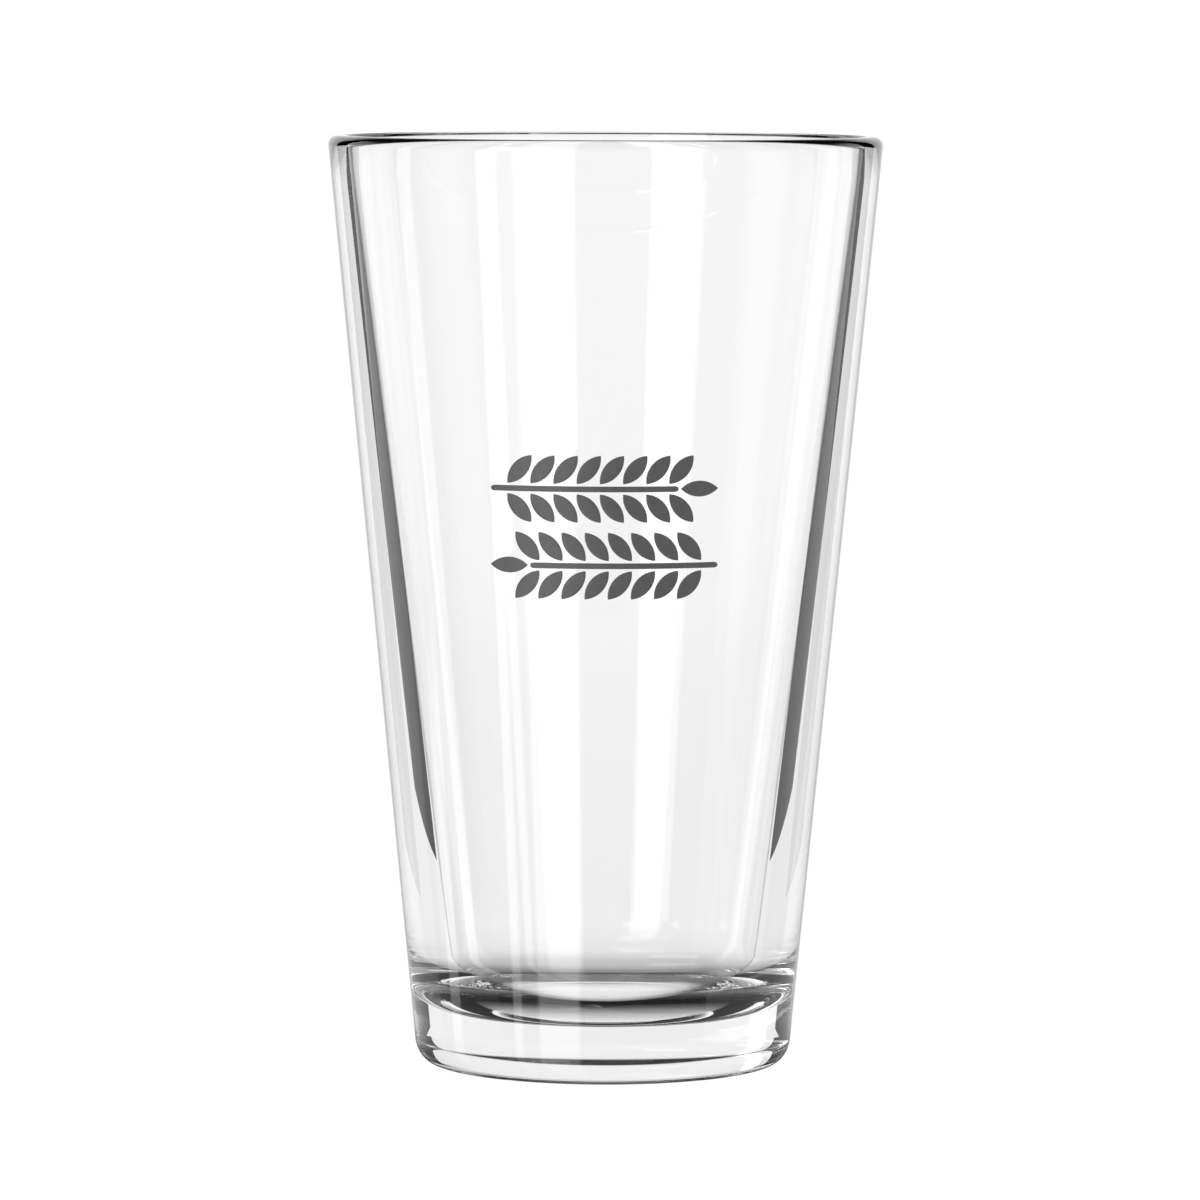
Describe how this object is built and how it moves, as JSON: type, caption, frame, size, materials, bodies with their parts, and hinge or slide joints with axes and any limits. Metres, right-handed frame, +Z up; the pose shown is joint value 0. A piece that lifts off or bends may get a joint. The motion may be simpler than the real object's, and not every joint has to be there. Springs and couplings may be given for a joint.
{
  "type": "pint glass",
  "caption": "Tall tapered bar glass with a thick base, rounded rim and a two-row dark enamel print of barley ears on the front.",
  "frame": {"origin": "centre of the base, on the plane that the glass stands on", "axes": "+Z up along the glass's own axis, -Y towards the printed front"},
  "size_m": [0.0888, 0.0888, 0.1492],
  "materials": {
    "clear_glass": "fire polished, clear soda-lime glass",
    "fired_enamel": "satin dark grey fired enamel ink"
  },
  "bodies": {
    "root": {"glass_body": "clear_glass", "print_upper_ear": "fired_enamel", "print_lower_ear": "fired_enamel"}
  },
  "joints": []
}
